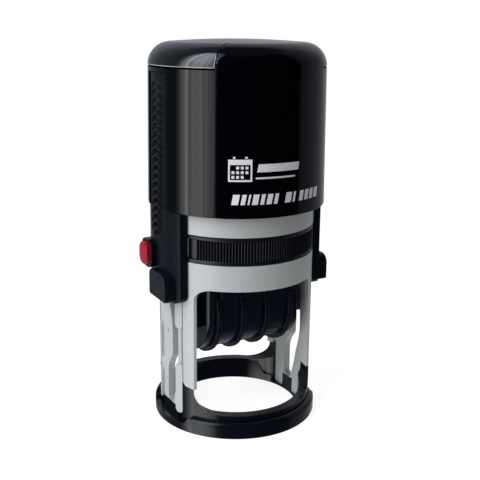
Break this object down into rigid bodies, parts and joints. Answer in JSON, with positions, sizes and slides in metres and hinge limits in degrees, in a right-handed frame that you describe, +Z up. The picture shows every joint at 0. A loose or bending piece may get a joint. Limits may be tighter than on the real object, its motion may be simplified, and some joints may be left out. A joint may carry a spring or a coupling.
{
  "type": "rotary date stamp",
  "caption": "Round self-inking date stamp: a sprung handle slides over a frame and turns a die with date bands down on to paper.",
  "frame": {"origin": "centre of the round base on the surface it stands on", "axes": "+Z up, -Y the front, the lock button on -X"},
  "size_m": [0.0514, 0.0482, 0.104],
  "materials": {
    "base_black": "satin black moulded plastic",
    "frame_grey": "satin light grey moulded plastic",
    "spring_steel": "drawn wire",
    "gloss_black": "high gloss black",
    "arm_charcoal": "fine satin charcoal",
    "card": "white card",
    "smoky_clear": "smoky clear gloss",
    "button_red": "gloss crimson",
    "cartridge_black": "satin black",
    "felt": "felt soaked with ink",
    "pin_steel": "turned steel",
    "carriage_navy": "satin blue-black",
    "die_rubber": "matt rubber",
    "band_rubber": "matt rubber",
    "wheel_black": "satin black"
  },
  "bodies": {
    "frame": {"base_ring": "base_black", "lower_frame": "frame_grey", "upper_frame": "frame_grey", "main_spring": "spring_steel"},
    "handle": {"handle_shell": "gloss_black", "left_arm": "arm_charcoal", "right_arm": "arm_charcoal", "left_pin_cover": "arm_charcoal", "right_pin_cover": "arm_charcoal", "lock_collar": "base_black", "index_card": "card", "lock_spring": "spring_steel"},
    "top_cover": {"top_cover": "smoky_clear"},
    "lock_button": {"lock_button": "button_red"},
    "ink_cartridge": {"cartridge_tray": "cartridge_black", "ink_pad": "felt"},
    "pivot_pins": {"left_pivot_pin": "pin_steel", "right_pivot_pin": "pin_steel"},
    "carriage": {"carriage_frame": "carriage_navy", "wheel_guard": "carriage_navy", "wheel_shaft": "pin_steel", "band_bridge": "carriage_navy", "die_plate": "carriage_navy", "text_die": "die_rubber", "month_band": "band_rubber", "day_tens_band": "band_rubber", "day_units_band": "band_rubber", "year_band": "band_rubber", "left_flip_cam": "carriage_navy", "right_flip_cam": "carriage_navy"},
    "month_wheel": {"month_wheel": "wheel_black"},
    "day_tens_wheel": {"day_tens_wheel": "wheel_black"},
    "day_units_wheel": {"day_units_wheel": "wheel_black"},
    "year_wheel": {"year_wheel": "wheel_black"}
  },
  "joints": [
    {"name": "handle_slide", "type": "slide", "parent": "frame", "child": "handle", "axis": [0, 0, -1], "range_m": [0, 0.034], "stiffness_N_per_m": 300, "springref_m": -0.01, "deforming": ["main_spring"]},
    {"name": "carriage_path", "type": "hinge", "parent": "frame", "child": "pivot_pins", "pos_m": [0, 0.04356, 0.02365], "axis": [1, 0, 0], "range_deg": [0, 42.65]},
    {"name": "carriage_flip", "type": "hinge", "parent": "pivot_pins", "child": "carriage", "pos_m": [0, 0, 0.04065], "axis": [1, 0, 0], "range_deg": [0, 137.37]},
    {"name": "lock_press", "type": "slide", "parent": "handle", "child": "lock_button", "axis": [1, 0, 0], "range_m": [0, 0.0012], "stiffness_N_per_m": 400, "springref_m": -0.001, "deforming": ["lock_spring"]},
    {"name": "cover_lift", "type": "slide", "parent": "handle", "child": "top_cover", "axis": [0, 0, 1], "range_m": [0, 0.02]},
    {"name": "cartridge_pull", "type": "slide", "parent": "frame", "child": "ink_cartridge", "axis": [0, -1, 0], "range_m": [0, 0.047]},
    {"name": "month_spin", "type": "hinge", "parent": "carriage", "child": "month_wheel", "pos_m": [0, 0, 0.0313], "axis": [1, 0, 0], "continuous": true},
    {"name": "day_tens_spin", "type": "hinge", "parent": "carriage", "child": "day_tens_wheel", "pos_m": [0, 0, 0.0313], "axis": [1, 0, 0], "continuous": true},
    {"name": "day_units_spin", "type": "hinge", "parent": "carriage", "child": "day_units_wheel", "pos_m": [0, 0, 0.0313], "axis": [1, 0, 0], "continuous": true},
    {"name": "year_spin", "type": "hinge", "parent": "carriage", "child": "year_wheel", "pos_m": [0, 0, 0.0313], "axis": [1, 0, 0], "continuous": true}
  ],
  "couplings": [
    {"joint": "carriage_path", "follows": "handle_slide", "rad_per_m": 21.889},
    {"joint": "carriage_flip", "follows": "handle_slide", "rad_per_m": 70.511}
  ]
}
